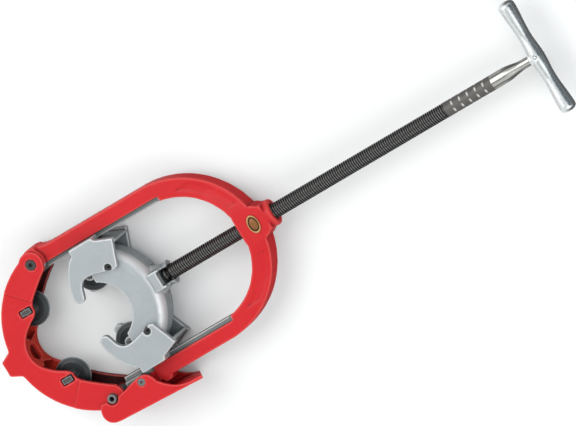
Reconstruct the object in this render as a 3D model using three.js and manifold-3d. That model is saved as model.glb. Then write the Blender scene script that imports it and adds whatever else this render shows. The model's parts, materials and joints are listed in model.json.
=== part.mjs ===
// A heavy hinged four-wheel pipe cutter, lying flat, in millimetres with +Z up.
// The feed screw runs along +X towards its T-handle, the jaw's hinge is on the +Y side and its latch on
// the -Y side. Pieces are laid out round the axis of the pipe in the jaw, which is parallel to Z, and the
// whole cutter is then moved so that the origin is the middle of the jaw's foot.
import * as THREE from "three";
import { mergeVertices } from "three/addons/utils/BufferGeometryUtils.js";
import Module from "manifold-3d";

// Driving dimensions
const LARGEST_PIPE_R = 84.15; // a 6 in pipe, 168.3 mm across
const WHEEL_R = 24.3;
const WHEEL_OFFSET_Y = 50.6; // wheels stand this far either side of the screw's axis
// The jaw wheels stand where they touch the largest pipe.
const WHEEL_X = -Math.sqrt((LARGEST_PIPE_R + WHEEL_R) ** 2 - WHEEL_OFFSET_Y ** 2);
const FOOT_X = -160;
const SCREW_R = 10;
const SCREW_BOSS_X = [203, 253.5];
const RAIL_END_X = 133; // where the rails run into the arch
const ARM_Y = [92, 112]; // inner and outer faces of the two frame arms
const RAIL_Y = 85.4; // the machined rails stand this far inward
const ARM_HALF_Z = 14;
const KNUCKLE_HALF_Z = 21; // parts of the frame that lie between the jaw's cheeks
const RAIL_HALF_Z = 9;
const JAW_HALF_Z = 29;
const JAW_CHEEK = 7;
const HINGE_PIN = { x: -56, y: 99.5, r: 6.8 };
const CATCH_PIN = { x: -55, y: -99.5, r: 6, bore: 3.2 };
const LATCH_PIVOT = { x: -9, y: -100, r: 5 };
const LATCH_Z = [30, 35.5]; // inner and outer faces of a latch cheek
const GUIDE_Z = [28, 37.5]; // inner and outer faces of a guide cheek
const GUIDE_PIN = { x: 34.5, y: 47.4, r: 4.8 };
const SLIDE_HALF_Z = 27;
const HANDLE = { x: 660.5, half: 80.5, endR: 11.4, midR: 8.3 };
const GAP = 0.3; // running clearance between neighbours

const ROUND = 32; // facets round a large turned piece
const PIN_ROUND = 16; // facets round a pin

const wasm = await Module();
wasm.setup();

const PAINT = { color: 0xc9202b, roughness: 0.4, metalness: 0 };
const CASTING = { color: 0xa3adb2, roughness: 0.5, metalness: 0.7 };
const ZINC = { color: 0xb4bfc4, roughness: 0.3, metalness: 0.9 };
const BLACK_OXIDE = { color: 0x2e3031, roughness: 0.5, metalness: 0.8 };
const WHEEL_STEEL = { color: 0x2b2f30, roughness: 0.45, metalness: 0.7 };
const PIN_STEEL = { color: 0x7d8488, roughness: 0.4, metalness: 0.9 };
const BRONZE = { color: 0x9a7440, roughness: 0.45, metalness: 0.9 };
const GOLD = { color: 0xc08a3c, roughness: 0.4, metalness: 0.8 };

const cutter = new THREE.Group();

// Solids ------------------------------------------------------------------------------------------------

function solidOf(geometry) {
  const bare = new THREE.BufferGeometry();
  bare.setAttribute("position", geometry.getAttribute("position"));
  if (geometry.index) bare.setIndex(geometry.index);
  const merged = mergeVertices(bare, 1e-4);
  return new wasm.Manifold(new wasm.Mesh({
    numProp: 3,
    vertProperties: new Float32Array(merged.getAttribute("position").array),
    triVerts: new Uint32Array(merged.index.array),
  }));
}

function add(name, look, solid, parent = cutter) {
  const { vertProperties, triVerts } = solid.getMesh();
  const geometry = new THREE.BufferGeometry();
  geometry.setAttribute("position", new THREE.BufferAttribute(vertProperties, 3));
  geometry.setIndex(new THREE.BufferAttribute(triVerts, 1));
  geometry.computeVertexNormals();
  const mesh = new THREE.Mesh(geometry, new THREE.MeshStandardMaterial(look));
  mesh.name = name;
  parent.add(mesh);
  return mesh;
}

// A slab with the given outline, a Shape or a list of [x, y], between two heights.
function slab(outline, low, high, curveSegments = 12) {
  const shape = Array.isArray(outline)
    ? new THREE.Shape(outline.map(([x, y]) => new THREE.Vector2(x, y)))
    : outline;
  const geometry = new THREE.ExtrudeGeometry(shape, {
    depth: high - low,
    bevelEnabled: false,
    curveSegments,
  });
  return solidOf(geometry.translate(0, 0, low));
}

function both(make) {
  return make(1).add(make(-1));
}

function block([x0, x1], [y0, y1], [z0, z1]) {
  const geometry = new THREE.BoxGeometry(x1 - x0, y1 - y0, z1 - z0);
  return solidOf(geometry.translate((x0 + x1) / 2, (y0 + y1) / 2, (z0 + z1) / 2));
}

// A round bar parallel to Z.
function bar(x, y, r, low, high, facets = PIN_ROUND) {
  const geometry = new THREE.CylinderGeometry(r, r, high - low, facets);
  return solidOf(geometry.rotateX(Math.PI / 2).translate(x, y, (low + high) / 2));
}

// A turned piece about the X axis, from [x, radius] pairs.
function turned(profile, facets = ROUND) {
  const points = profile.map(([x, r]) => new THREE.Vector2(r, x));
  return solidOf(new THREE.LatheGeometry(points, facets).rotateZ(-Math.PI / 2));
}

function mirrored(solid, side) {
  return side > 0 ? solid : solid.mirror([0, 1, 0]);
}

// The closed outline of a disc, for use as a slab.
function disc(x, y, r) {
  const shape = new THREE.Shape();
  shape.absarc(x, y, r, 0, 2 * Math.PI);
  return shape;
}

function oval(x, y, halfX, halfY) {
  const shape = new THREE.Shape();
  shape.absellipse(x, y, halfX, halfY, 0, 2 * Math.PI);
  return shape;
}

// Frame -------------------------------------------------------------------------------------------------

// Each edge of the arch is half an ellipse centred at x, and carried straight back from there.
const ARCH = {
  outer: { x: 117, reach: 116, halfY: ARM_Y[1] },
  inner: { x: 118, reach: 88, halfY: 86.5 },
  panelOuter: { x: 117, reach: 109.5, halfY: 106 }, // a shallow panel lies between two rims
  panelInner: { x: 118, reach: 96, halfY: 95 },
};
const PANEL_Y = [34, 88];
const PANEL_DEPTH = 0.9;
const ARCH_ROOM = { x: 300, y: 130, z: ARM_HALF_Z + 6 }; // well outside the arch
const CROWN_Y = [24, 66]; // the arch grows thicker towards the screw, from the outer of these inwards
const BOSS_HALF_Y = 22.5;
const COLLAR_R = 17.4;
const COLLAR_LENGTH = 14;
const BADGE = { x: 226, halfX: 8, halfY: 12.5, z: 17, thickness: 1.6 };
const SCREW_BORE_R = SCREW_R + 4; // the feed nut fills the rest
const NUT_END_X = SCREW_BOSS_X[1] - 8;
const HEEL_X = -44; // the frame is narrow left of this, to lie between the jaw's cheeks
const HEEL_R = 17;
const LATCH_RECESS_X = 7;
const LATCH_ARM_X = -38;
const LATCH_TONGUE_HALF_Z = 11.5; // the arm is thinner here, between the latch's cheeks

function archOutline({ x, reach, halfY }) {
  const shape = new THREE.Shape();
  shape.moveTo(0, -halfY);
  shape.lineTo(x, -halfY);
  shape.absellipse(x, 0, reach, halfY, -Math.PI / 2, Math.PI / 2);
  shape.lineTo(0, halfY);
  return shape;
}

// A bar along X with the arch's section, less a skin of the given depth.
function crown(skin) {
  const quarter = [
    [ARCH_ROOM.y, ARM_HALF_Z - skin], [CROWN_Y[1], ARM_HALF_Z - skin], [CROWN_Y[0], BADGE.z - skin],
  ];
  const front = [...quarter, ...quarter.map(([y, z]) => [-y, z]).reverse()];
  const section = [...front, ...front.map(([y, z]) => [y, -z]).reverse()];
  return slab(section, 0, ARCH_ROOM.x).rotate([90, 0, 90]);
}

function frameArch() {
  const { x: farX, y: farY, z: farZ } = ARCH_ROOM;
  const within = (edge) => slab(archOutline(edge), -farZ, farZ, 28);
  const panelRoom = both((s) => mirrored(block([RAIL_END_X, farX], PANEL_Y, [-farZ, farZ]), s));
  const panel = within(ARCH.panelOuter)
    .subtract(within(ARCH.panelInner))
    .intersect(panelRoom)
    .subtract(crown(PANEL_DEPTH));
  return within(ARCH.outer)
    .intersect(block([ARCH.outer.x - 8, farX], [-farY, farY], [-farZ, farZ]))
    .intersect(crown(0))
    .subtract(within(ARCH.inner))
    .subtract(panel)
    .subtract(block([0, RAIL_END_X - 1], [-ARM_Y[0], ARM_Y[0]], [-farZ, farZ]));
}

// The boss that holds the feed nut: flat in front and behind, with a beaded collar towards the handle.
function frameBoss() {
  const [x0, x1] = SCREW_BOSS_X;
  const side = (s) => [
    [x0, s * (BOSS_HALF_Y - 4)], [x0 + 6, s * BOSS_HALF_Y], [x1 - 20, s * BOSS_HALF_Y],
    [x1 - COLLAR_LENGTH, s * (COLLAR_R + 1)], [x1 - 9, s * (COLLAR_R - 0.5)],
  ];
  const plan = [...side(-1), ...side(1).reverse()];
  const collar = turned([
    [x1 - COLLAR_LENGTH, 0], [x1 - COLLAR_LENGTH, COLLAR_R - 0.5], [x1 - 8, COLLAR_R - 0.5],
    [x1 - 6, COLLAR_R + 0.8], [x1 - 2, COLLAR_R + 0.8], [x1, COLLAR_R - 1], [x1, 0],
  ]);
  return slab(plan, -BADGE.z, BADGE.z).add(collar);
}

// One side of the frame: the arm and its machined rail.
function frameArm(side) {
  const left = side > 0 ? HEEL_X : LATCH_RECESS_X;
  const reach = side > 0 ? HINGE_PIN.x : LATCH_ARM_X;
  const wide = block([left, ARCH.outer.x], ARM_Y, [-ARM_HALF_Z, ARM_HALF_Z]);
  const tongueZ = side > 0 ? KNUCKLE_HALF_Z : LATCH_TONGUE_HALF_Z;
  const narrow = block([reach, left + 1], ARM_Y, [-tongueZ, tongueZ]);
  const railLeft = reach + 2;
  const rail = block([railLeft, RAIL_END_X], [RAIL_Y, ARM_Y[0] + 1], [-RAIL_HALF_Z, RAIL_HALF_Z]);
  return mirrored(wide.add(narrow).add(rail), side);
}

// The hinge side's knuckle, and the rounded heel that stands proud of the arm beside it.
function frameHeel() {
  const knuckle = bar(HINGE_PIN.x, HINGE_PIN.y, HEEL_R, -KNUCKLE_HALF_Z, KNUCKLE_HALF_Z, ROUND);
  const heel = new THREE.Shape();
  heel.moveTo(-60, 95);
  heel.lineTo(-60, 115.5);
  heel.quadraticCurveTo(-57, 118, -52, 117.8);
  heel.bezierCurveTo(-44, 117.2, -40, 112.8, -27, ARM_Y[1]);
  heel.lineTo(-27, 95);
  const left = block([-80, HEEL_X], [90, 125], [-30, 30]);
  return knuckle
    .add(slab(heel, -KNUCKLE_HALF_Z, KNUCKLE_HALF_Z).intersect(left))
    .add(slab(heel, -ARM_HALF_Z, ARM_HALF_Z));
}

function latchBoss() {
  return slab([[10, -110], [12, -117], [22, -117], [27, -110]], -ARM_HALF_Z, ARM_HALF_Z);
}

function makeFrame() {
  const [x0, x1] = SCREW_BOSS_X;
  const nutBore = turned([
    [x0 - 10, 0], [x0 - 10, SCREW_BORE_R], [NUT_END_X, SCREW_BORE_R], [NUT_END_X, 0],
  ]);
  const screwHole = turned([[x0, 0], [x0, SCREW_R + 1], [x1 + 10, SCREW_R + 1], [x1 + 10, 0]]);
  return frameArch().add(frameBoss()).add(both(frameArm)).add(frameHeel()).add(latchBoss())
    .subtract(nutBore)
    .subtract(screwHole)
    .subtract(bar(HINGE_PIN.x, HINGE_PIN.y, HINGE_PIN.r + GAP, -60, 60))
    .subtract(bar(LATCH_PIVOT.x, LATCH_PIVOT.y, LATCH_PIVOT.r + GAP, -60, 60));
}

add("yoke_frame", PAINT, makeFrame());

// A threaded bush held in the boss, against a shoulder inside the collar.
const NUT_X = [SCREW_BOSS_X[0] + 1, NUT_END_X - GAP];
const NUT_R = [SCREW_R + GAP, SCREW_BORE_R - GAP];
add("feed_nut", BRONZE, turned([
  [NUT_X[0], NUT_R[0]], [NUT_X[0], NUT_R[1]], [NUT_X[1], NUT_R[1]], [NUT_X[1], NUT_R[0]],
  [NUT_X[0], NUT_R[0]],
]));

const badgeBack = BADGE.z + GAP;
add("oval_badge", GOLD, slab(
  oval(BADGE.x, 0, BADGE.halfX, BADGE.halfY),
  badgeBack,
  badgeBack + BADGE.thickness,
  16,
));

// Jaw ---------------------------------------------------------------------------------------------------

const JAW_ARC = { x: -24, r: 118, stretch: 122 / 118 }; // its outer edge is a little longer than round
const JAW_RIM = 8; // thickness of the wall along the outer edge
const JAW_END_R = 16.5; // rounded ends about the hinge and catch pins
const WEB = 6; // the inner wall between the two wheels
const WINDOW = { halfY: 11, halfZ: 16, spacing: 27 }; // openings through the inner wall
const CHEEK_STEP = 1.2; // the cheeks are a little thinner between their ends
const CHEEK_STEP_ANGLE = 2.34;
const WHEEL_SLOT_HALF_Z = 14;
const WHEEL_SLOT_FLOOR = 4.5; // the rim left behind a wheel

// The jaw's plan from the foot round to the hinge pin, mirrored for the catch side.
function jawOutline(side) {
  const shape = new THREE.Shape();
  const y = (v) => side * v;
  shape.moveTo(FOOT_X, 0);
  shape.lineTo(FOOT_X, y(10.5));
  shape.lineTo(JAW_ARC.x - JAW_ARC.stretch * Math.sqrt(JAW_ARC.r ** 2 - 18 ** 2), y(18));
  const start = Math.asin(18 / JAW_ARC.r);
  const end = Math.acos((HINGE_PIN.x - JAW_ARC.x) / JAW_ARC.r);
  const steps = 24;
  for (let i = 1; i <= steps; i++) {
    const a = Math.PI - start + (i / steps) * (end - Math.PI + start);
    shape.lineTo(JAW_ARC.x + JAW_ARC.stretch * JAW_ARC.r * Math.cos(a), y(JAW_ARC.r * Math.sin(a)));
  }
  shape.lineTo(-40, y(100));
  shape.lineTo(-43, y(87));
  shape.quadraticCurveTo(-64, y(73), -79, y(60));
  shape.quadraticCurveTo(-86, y(54), -85, y(47));
  shape.quadraticCurveTo(-88, y(40.5), -95, y(37.5));
  shape.quadraticCurveTo(-123, y(22), -123, 0);
  return shape;
}

// The space between the cheeks: inside the rim, outside the inner wall, and open round the two end pins.
function jawHollow(side) {
  const pin = side > 0 ? HINGE_PIN : CATCH_PIN;
  const depth = JAW_HALF_Z - JAW_CHEEK;
  const shape = new THREE.Shape();
  const y = (v) => side * v;
  shape.absarc(JAW_ARC.x, 0, JAW_ARC.r - JAW_RIM, Math.PI, Math.PI - side * 1.9, side > 0);
  shape.lineTo(-20, y(100));
  shape.lineTo(-20, y(70));
  shape.lineTo(-70, y(45));
  shape.lineTo(-98, y(30));
  shape.quadraticCurveTo(-123 - WEB, y(18), -123 - WEB, 0);
  const ring = slab(shape, -depth, depth, 24);
  return ring.add(bar(pin.x, Math.abs(pin.y) * side, 31, -depth, depth, ROUND));
}

// The sector between the two steps across a cheek.
function cheekRecess(face) {
  const reach = 2 * JAW_ARC.r; // past the foot
  const corner = (s) => [
    JAW_ARC.x + reach * Math.cos(CHEEK_STEP_ANGLE),
    s * reach * Math.sin(CHEEK_STEP_ANGLE),
  ];
  const low = face > 0 ? JAW_HALF_Z - CHEEK_STEP : -JAW_HALF_Z - 1;
  return slab([[JAW_ARC.x, 0], corner(1), corner(-1)], low, low + CHEEK_STEP + 1);
}

function makeJaw() {
  const shell = both((s) => {
    const pin = s > 0 ? HINGE_PIN : CATCH_PIN;
    return slab(jawOutline(s), -JAW_HALF_Z, JAW_HALF_Z)
      .add(bar(pin.x, pin.y, JAW_END_R, -JAW_HALF_Z, JAW_HALF_Z, ROUND));
  });
  const wheelSlots = both((s) => {
    const slot = [-WHEEL_SLOT_HALF_Z, WHEEL_SLOT_HALF_Z];
    const sweep = bar(WHEEL_X, s * WHEEL_OFFSET_Y, WHEEL_R + 3, ...slot, ROUND);
    return sweep.subtract(slab(disc(JAW_ARC.x, 0, JAW_ARC.r + 20), -60, 60, 32)
      .subtract(slab(disc(JAW_ARC.x, 0, JAW_ARC.r - WHEEL_SLOT_FLOOR), -61, 61, 32)));
  });
  const windows = [-1, 0, 1].map((s) => bar(0, 0, 1, -130, -110, 24)
    .scale([WINDOW.halfZ, WINDOW.halfY, 1]).rotate([0, 90, 0]).translate([0, s * WINDOW.spacing, 0]))
    .reduce((all, one) => all.add(one));
  const tangSlots = both((s) => block(
    [WHEEL_X - 9, WHEEL_X + 9],
    s > 0 ? [WHEEL_OFFSET_Y - 5, WHEEL_OFFSET_Y + 5] : [-WHEEL_OFFSET_Y - 5, -WHEEL_OFFSET_Y + 5],
    [-60, 60],
  ));
  return shell
    .subtract(both(jawHollow))
    .subtract(wheelSlots)
    .subtract(windows)
    .subtract(both(cheekRecess))
    .subtract(tangSlots)
    .subtract(bar(HINGE_PIN.x, HINGE_PIN.y, HINGE_PIN.r + GAP, -60, 60))
    .subtract(bar(CATCH_PIN.x, CATCH_PIN.y, CATCH_PIN.r + GAP, -60, 60));
}

add("lower_jaw", PAINT, makeJaw());
add("hinge_pin", BLACK_OXIDE, bar(HINGE_PIN.x, HINGE_PIN.y, HINGE_PIN.r, -30, 30));
add("catch_pin", PIN_STEEL, bar(CATCH_PIN.x, CATCH_PIN.y, CATCH_PIN.r, -36, 36)
  .subtract(bar(CATCH_PIN.x, CATCH_PIN.y, CATCH_PIN.bore, -40, 40)));

// Wheels and their pins ---------------------------------------------------------------------------------

const WHEEL_HUB = { r: 8.5, halfZ: 7.5, bore: 5 };
const WHEEL_RIM_HALF_Z = 3.2;
const PIN_R = WHEEL_HUB.bore - GAP;

function makeWheel() {
  const { r, halfZ, bore } = WHEEL_HUB;
  const profile = [
    [-halfZ, bore], [-halfZ, r], [-WHEEL_RIM_HALF_Z - 1, r + 1], [-WHEEL_RIM_HALF_Z, WHEEL_R - 7],
    [-0.3, WHEEL_R], [0.3, WHEEL_R],
    [WHEEL_RIM_HALF_Z, WHEEL_R - 7], [WHEEL_RIM_HALF_Z + 1, r + 1], [halfZ, r], [halfZ, bore],
    [-halfZ, bore],
  ];
  return turned(profile).rotate([0, 90, 0]);
}

// A wheel pin: round in the middle, with flat-sided tangs that stop it turning in its seats.
function makeWheelPin(halfLength, tangLength) {
  const tang = (s) => block([-7, 7], [-3.5, 3.5], s > 0
    ? [halfLength - tangLength, halfLength] : [-halfLength, tangLength - halfLength]);
  return bar(0, 0, PIN_R, -halfLength + 1, halfLength - 1).add(both(tang));
}

const JAW_WHEEL_PIN = { half: 28, tang: 5.5 };
const SLIDE_WHEEL_PIN_HALF = 17;
const stations = [
  { name: "jaw", x: WHEEL_X, pin: makeWheelPin(JAW_WHEEL_PIN.half, JAW_WHEEL_PIN.tang) },
  { name: "slide", x: 0, pin: bar(0, 0, PIN_R, -SLIDE_WHEEL_PIN_HALF, SLIDE_WHEEL_PIN_HALF) },
];
for (const { name, x, pin } of stations) {
  for (const side of [1, -1]) {
    const seat = new THREE.Group();
    seat.position.set(x, side * WHEEL_OFFSET_Y, 0);
    cutter.add(seat);
    const place = side > 0 ? "upper" : "lower";
    add(`${name}_cutter_wheel_${place}`, WHEEL_STEEL, makeWheel(), seat);
    add(`${name}_wheel_pin_${place}`, PIN_STEEL, pin, seat);
  }
}

// Slide -------------------------------------------------------------------------------------------------

const SLIDE_ARC = { x: -10, inner: 41, outer: 84 };
const SLIDE_HALF_Y = 77;
const SLIDE_LEFT_X = 6;
const SHOULDER_R = 15; // the slide's outer edges are this round in front and behind
const EAR = { r: 8.5, halfZ: 16, endY: 68 };
const WHEEL_GAP_HALF_Z = 8;
const SOCKET = { x: [80, 93], halfY: 9.9 };
const PAD = { x: [60, 84], halfY: 13, halfZ: 24 }; // flat ground round the socket
const COLLAR = { x0: 68, x1: 93, r: 17 };
const RETAINER = { x: [87.2, 90.2], halfY: 13, low: -15, high: 1 };
const THROUGH = 60; // reaches past every face

// A disc about the slide's centre whose rim is rounded in front and behind.
function barrel() {
  const { outer } = SLIDE_ARC;
  const steps = 6;
  const rounds = (s) => Array.from({ length: steps + 1 }, (_, i) => {
    const a = (i / steps) * (Math.PI / 2);
    return new THREE.Vector2(
      outer - SHOULDER_R * (1 - Math.sin(a)),
      s * (SLIDE_HALF_Z - SHOULDER_R * (1 - Math.cos(a))),
    );
  });
  const profile = [new THREE.Vector2(0, -SLIDE_HALF_Z), ...rounds(-1), ...rounds(1).reverse(),
    new THREE.Vector2(0, SLIDE_HALF_Z)];
  return solidOf(new THREE.LatheGeometry(profile, 96).rotateX(Math.PI / 2).translate(SLIDE_ARC.x, 0, 0));
}

function makeSlide() {
  const crescent = barrel().intersect(
    block([SLIDE_LEFT_X, 200], [-SLIDE_HALF_Y, SLIDE_HALF_Y], [-THROUGH, THROUGH]),
  );
  const ears = both((s) => {
    const height = [-EAR.halfZ, EAR.halfZ];
    const ear = bar(0, WHEEL_OFFSET_Y, EAR.r, ...height)
      .add(block([0, 20], [WHEEL_OFFSET_Y - EAR.r + 0.5, EAR.endY], height))
      .add(block([0.1 - EAR.r, 20], [WHEEL_OFFSET_Y, EAR.endY], height));
    return mirrored(ear, s);
  });
  const collar = turned([
    [COLLAR.x0 - 10, 0], [COLLAR.x0 - 10, 24], [COLLAR.x0, 22], [COLLAR.x1 - 8, 14.5],
    [COLLAR.x1 - 3, COLLAR.r - 1], [COLLAR.x1, COLLAR.r], [COLLAR.x1, 0],
  ]);
  const pad = block(PAD.x, [-PAD.halfY, PAD.halfY], [-PAD.halfZ, PAD.halfZ]);
  const wheelRoom = both((s) => {
    const depth = [-WHEEL_GAP_HALF_Z, WHEEL_GAP_HALF_Z];
    return bar(0, s * WHEEL_OFFSET_Y, WHEEL_R + 2.5, ...depth, ROUND);
  });
  const pinHoles = both((s) => bar(0, s * WHEEL_OFFSET_Y, PIN_R + GAP, -THROUGH, THROUGH)
    .add(bar(GUIDE_PIN.x, s * GUIDE_PIN.y, GUIDE_PIN.r + GAP, -THROUGH, THROUGH)));
  const journal = turned([[78, 0], [78, SCREW_R + 2 * GAP], [120, SCREW_R + 2 * GAP], [120, 0]]);
  const { x, halfY, low, high } = RETAINER;
  const forkRoom = [-halfY - GAP, halfY + GAP];
  const retainerSlot = block([x[0] - GAP, x[1] + GAP], forkRoom, [low - 30, high + GAP]);
  return crescent.add(ears).add(collar).add(pad)
    .subtract(slab(disc(SLIDE_ARC.x, 0, SLIDE_ARC.inner), -THROUGH, THROUGH, 32))
    .subtract(wheelRoom)
    .subtract(pinHoles)
    .subtract(journal)
    .subtract(block(SOCKET.x, [-SOCKET.halfY, SOCKET.halfY], [-THROUGH, THROUGH]))
    .subtract(retainerSlot);
}

add("slide", CASTING, makeSlide());

const NECK_R = 7;
const retainer = block(RETAINER.x, [-RETAINER.halfY, RETAINER.halfY], [RETAINER.low, RETAINER.high])
  .subtract(turned([[80, 0], [80, NECK_R + GAP], [100, NECK_R + GAP], [100, 0]]))
  .subtract(block([80, 100], [-NECK_R - GAP, NECK_R + GAP], [0, 40]));
add("screw_retainer", PIN_STEEL, retainer);

// Guides ------------------------------------------------------------------------------------------------

const GUIDE_LIP_Z = RAIL_HALF_Z + GAP; // lips of the guide straddle the rail
const GUIDE_WEB_Y = [SLIDE_HALF_Y + GAP, RAIL_Y - GAP];

function guideOutline() {
  const shape = new THREE.Shape();
  shape.moveTo(0, ARM_Y[0] - 1);
  shape.lineTo(0, 82);
  shape.lineTo(-5, 80);
  shape.bezierCurveTo(-14, 71, -26, 54, -28, 33);
  shape.quadraticCurveTo(-27.5, 25.5, -21, 25);
  shape.quadraticCurveTo(-16, 25, -14, 30);
  shape.bezierCurveTo(-11, 40, -9, 50, 4, 50);
  shape.lineTo(14, 49);
  shape.lineTo(42, 41);
  shape.lineTo(46, 43);
  shape.lineTo(60, 77);
  shape.lineTo(37, 86);
  shape.lineTo(34, ARM_Y[0] - 1);
  return shape;
}

// Seen across the feed direction, a guide is a U whose two cheeks embrace the slide.
function makeGuide(side) {
  const [inner, outer] = GUIDE_Z;
  const cheeks = both((s) => slab(guideOutline(), s > 0 ? inner : -outer, s > 0 ? outer : -inner));
  const [webLow, webHigh] = GUIDE_WEB_Y;
  const web = slab([
    [0, webLow], [0, webHigh], [30, webHigh], [36, webHigh - 1.9], [60, 73.5], [57, 70.5], [36, webLow],
  ], -inner - 1, inner + 1).subtract(slab(disc(SLIDE_ARC.x, 0, SLIDE_ARC.outer + GAP), -60, 60, 48)
    .intersect(block([0, 100], [-SLIDE_HALF_Y - GAP, SLIDE_HALF_Y + GAP], [-60, 60])));
  const lips = both((s) => block([0, 35], [webHigh - 3, ARM_Y[0] - 1], s > 0
    ? [GUIDE_LIP_Z, inner + 1] : [-inner - 1, -GUIDE_LIP_Z]));
  return mirrored(cheeks.add(web).add(lips), side)
    .subtract(bar(GUIDE_PIN.x, side * GUIDE_PIN.y, GUIDE_PIN.r + GAP, -60, 60));
}

for (const [side, place] of [[1, "upper"], [-1, "lower"]]) {
  add(`rail_guide_${place}`, CASTING, makeGuide(side));
  add(`guide_pin_${place}`, BLACK_OXIDE, bar(GUIDE_PIN.x, side * GUIDE_PIN.y, GUIDE_PIN.r, -33, 33));
}

// Feed screw and handle ---------------------------------------------------------------------------------

const THREAD_X = [92, 522];
const GRIP_END_X = 593; // the dimpled stretch ends here
const SHANK_X = [610, 640, 650];
const SHANK_R = 6.5;
const HANDLE_BORE_END_X = HANDLE.x + 4;

const screwProfile = [
  [80.8, 0], [80.8, 8.4], [81.6, 9.2], [86.4, 9.2], [86.4, NECK_R], [91, NECK_R], [THREAD_X[0], SCREW_R],
  [THREAD_X[1], SCREW_R], [GRIP_END_X, SCREW_R], [SHANK_X[0], SCREW_R], [SHANK_X[1], SHANK_R + 0.7],
  [SHANK_X[2] - 4, SHANK_R], [HANDLE_BORE_END_X, SHANK_R], [HANDLE_BORE_END_X, 0],
];
const HANDLE_PIN_R = 2;
const handlePinHole = bar(HANDLE.x, 0, HANDLE_PIN_R + GAP, -60, 60, 12);
add("feed_screw", BLACK_OXIDE, turned(screwProfile).subtract(handlePinHole));

// A bar swelling to rounded ends and to a hub where the screw's shank enters.
const HUB = { swell: 2.2, spread: 0.24 };
const CAP_SHARE = 0.09; // the share of each half that is rounded off

function makeHandle() {
  const { x, half, endR, midR } = HANDLE;
  const profile = [new THREE.Vector2(0, -half)];
  const steps = 32;
  for (let i = 1; i < steps; i++) {
    const along = half * Math.sin(Math.PI * (i / steps - 0.5));
    const u = Math.abs(along) / half;
    const hub = HUB.swell * Math.exp(-((u / HUB.spread) ** 2));
    const swell = midR + (endR - midR) * THREE.MathUtils.smoothstep(u, 0.3, 0.95) + hub;
    const cap = Math.sqrt(1 - (Math.max(0, u - 1 + CAP_SHARE) / CAP_SHARE) ** 2.6);
    profile.push(new THREE.Vector2(swell * cap, along));
  }
  profile.push(new THREE.Vector2(0, half));
  const ringX = SHANK_X[2];
  const boreR = SHANK_R + GAP;
  const hubRing = turned([[ringX, 0], [ringX, 8.4], [ringX + 3, 9], [x, 9], [x, 0]]);
  const bore = turned([
    [ringX - 5, 0], [ringX - 5, boreR], [HANDLE_BORE_END_X + GAP, boreR], [HANDLE_BORE_END_X + GAP, 0],
  ]);
  return solidOf(new THREE.LatheGeometry(profile, 24).translate(x, 0, 0))
    .add(hubRing)
    .subtract(bore)
    .subtract(handlePinHole);
}

add("t_handle", ZINC, makeHandle());
add("handle_pin", PIN_STEEL, bar(HANDLE.x, 0, HANDLE_PIN_R, -10, 10, 12));

// Latch -------------------------------------------------------------------------------------------------

function latchOutline() {
  const shape = new THREE.Shape();
  shape.moveTo(67, -135);
  shape.lineTo(66, -130.5);
  shape.lineTo(48, -130);
  shape.bezierCurveTo(28, -128.5, 20, -120, 9, -108);
  shape.quadraticCurveTo(6, -94, -4, -92.5);
  shape.bezierCurveTo(-16, -92, -32, -99, -46, -101);
  shape.absarc(CATCH_PIN.x, CATCH_PIN.y, 8.4, -0.18, -Math.PI + 0.12, true);
  shape.lineTo(-72, -99.5);
  shape.bezierCurveTo(-81, -109, -80, -125, -66, -128.5);
  shape.lineTo(-60, -129.5);
  return shape;
}

const LATCH_WEB = 4.5;
const TAB_END_X = [40, 66]; // the thumb tab's end slopes from back to front

function makeLatch() {
  const [inner, outer] = LATCH_Z;
  const cheeks = both((s) => slab(latchOutline(), s > 0 ? inner : -outer, s > 0 ? outer : -inner));
  const web = slab(
    [[-62, -129.2], [-62, -129 + LATCH_WEB], [20, -131.2 + LATCH_WEB], [66, -130.5], [67, -135]],
    -inner - 1,
    inner + 1,
  );
  const [backX, frontX] = TAB_END_X;
  const tabEnd = slab([[backX, -60], [backX, -outer], [frontX, outer], [90, 60], [90, -60]], -60, 160)
    .rotate([90, 0, 0]);
  return cheeks.add(web).subtract(tabEnd)
    .subtract(bar(LATCH_PIVOT.x, LATCH_PIVOT.y, LATCH_PIVOT.r + GAP, -60, 60));
}

add("latch_lever", PAINT, makeLatch());
add("latch_pivot_pin", PIN_STEEL, bar(LATCH_PIVOT.x, LATCH_PIVOT.y, LATCH_PIVOT.r, -35, 35));

// A torsion spring on the pivot pin, between the frame and the latch's front cheek.
class Coil extends THREE.Curve {
  constructor(x, y, r, low, high, turns) {
    super();
    Object.assign(this, { x, y, r, low, high, turns });
  }

  getPoint(t, target = new THREE.Vector3()) {
    const a = 2 * Math.PI * this.turns * t;
    return target.set(
      this.x + this.r * Math.cos(a),
      this.y + this.r * Math.sin(a),
      this.low + (this.high - this.low) * t,
    );
  }
}

const SPRING = { r: 7, wire: 0.9, turns: 5 };
const wireOutline = new THREE.Shape();
wireOutline.absarc(0, 0, SPRING.wire, 0, 2 * Math.PI);
const springPath = new Coil(LATCH_PIVOT.x, LATCH_PIVOT.y, SPRING.r,
  LATCH_TONGUE_HALF_Z + SPRING.wire + GAP, LATCH_Z[0] - SPRING.wire - GAP, SPRING.turns);
add("latch_spring", PIN_STEEL, solidOf(new THREE.ExtrudeGeometry(wireOutline, {
  extrudePath: springPath,
  steps: 60,
  curveSegments: 3,
})));

cutter.position.x = -FOOT_X;

export default cutter;
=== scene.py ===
import json
import math

import bpy
import numpy as np
from mathutils import Matrix, Vector, noise

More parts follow.
